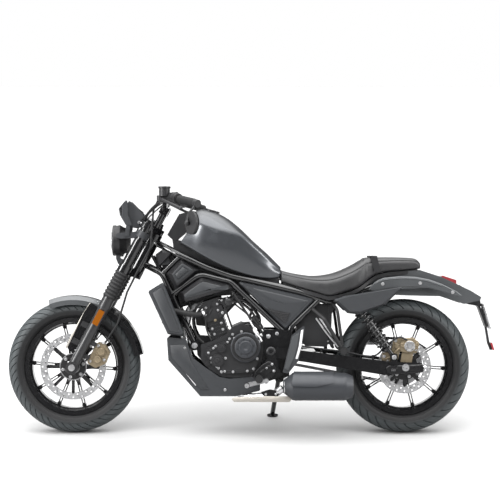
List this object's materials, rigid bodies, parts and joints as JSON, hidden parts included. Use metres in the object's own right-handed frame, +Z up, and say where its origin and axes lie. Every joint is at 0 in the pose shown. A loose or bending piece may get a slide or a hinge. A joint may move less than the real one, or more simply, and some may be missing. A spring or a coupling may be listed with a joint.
{
  "type": "cruiser motorcycle",
  "caption": "low cruiser motorcycle leaning on its side stand, open engine, steering fork and handlebar, turning wheels, long low saddle and short silencer",
  "frame": {"origin": "on the ground under the middle of the bounding box of the machine at rest on its side stand", "axes": "X along the machine, its front toward -X; Z up; the machine leans 9 degrees toward +Y, the side of its stand"},
  "size_m": [2.2034, 0.958, 1.1351],
  "materials": {
    "frame_black": "gloss",
    "wheel_black": "gloss",
    "tyre_rubber": "matte",
    "engine_black": "satin",
    "graphite_paint": "satin metallic",
    "dark_plastic": "matte",
    "rubber": "matte",
    "seat_cover": "soft grain",
    "satin_steel": "satin",
    "muffler_black": "satin heat-resistant",
    "bright_metal": "satin",
    "damper_black": "gloss",
    "spring_black": "gloss",
    "caliper_gold": "satin",
    "lens_glass": "clear",
    "red_lens": "gloss",
    "amber_lens": "gloss"
  },
  "bodies": {
    "frame": {"air_box": "engine_black", "belly_pan": "graphite_paint", "crankcase": "engine_black", "cylinders": "engine_black", "drive_chain": "satin_steel", "engine_covers": "engine_black", "exhaust_pipes": "satin_steel", "fender_struts": "graphite_paint", "filler_cap": "bright_metal", "foot_controls": "satin_steel", "footrests": "rubber", "frame_brackets": "frame_black", "frame_infills": "dark_plastic", "fuel_tank": "graphite_paint", "main_frame": "frame_black", "muffler": "muffler_black", "number_plate": "bright_metal", "plate_holder": "dark_plastic", "radiator": "engine_black", "radiator_shrouds": "graphite_paint", "rear_axle": "satin_steel", "rear_caliper": "caliper_gold", "rear_fender": "graphite_paint", "rear_guards": "dark_plastic", "rear_lamps": "red_lens", "seat": "seat_cover", "seat_rails": "frame_black", "seat_strap": "dark_plastic", "shock_springs": "spring_black", "shocks": "damper_black", "side_panels": "graphite_paint", "swingarm": "frame_black"},
    "steering": {"bar_controls": "dark_plastic", "brake_hose": "rubber", "fender_tail": "frame_black", "flyscreen": "graphite_paint", "fork_boots": "rubber", "fork_reflectors": "amber_lens", "fork_sliders": "engine_black", "fork_yokes": "frame_black", "front_axle": "satin_steel", "front_caliper": "caliper_gold", "front_fender": "graphite_paint", "grips": "rubber", "handlebar": "frame_black", "headlamp_brackets": "graphite_paint", "headlamp_lens": "lens_glass", "headlamp_shell": "dark_plastic", "instrument": "dark_plastic", "mirrors": "dark_plastic"},
    "front_wheel": {"front_rim": "wheel_black", "front_tyre": "tyre_rubber", "front_disc": "satin_steel"},
    "rear_wheel": {"rear_rim": "wheel_black", "rear_tyre": "tyre_rubber", "rear_disc": "satin_steel", "rear_sprocket": "satin_steel"},
    "stand": {"side_stand": "frame_black"}
  },
  "joints": [
    {"name": "steering_head", "type": "hinge", "parent": "frame", "child": "steering", "pos_m": [-0.48128, -0.02079, 0.80006], "axis": [0.4695, 0.1381, 0.8721], "range_deg": [-34, 34]},
    {"name": "front_axle_spin", "type": "hinge", "parent": "steering", "child": "front_wheel", "pos_m": [-0.80181, -0.10043, 0.29722], "axis": [0, 0.9877, -0.1564], "continuous": true},
    {"name": "rear_axle_spin", "type": "hinge", "parent": "frame", "child": "rear_wheel", "pos_m": [0.68819, -0.10012, 0.29919], "axis": [0, 0.9877, -0.1564], "continuous": true},
    {"name": "side_stand_fold", "type": "hinge", "parent": "frame", "child": "stand", "pos_m": [0.12919, 0.02352, 0.21684], "axis": [0.0969, -0.8919, -0.4418], "range_deg": [0, 100]}
  ]
}
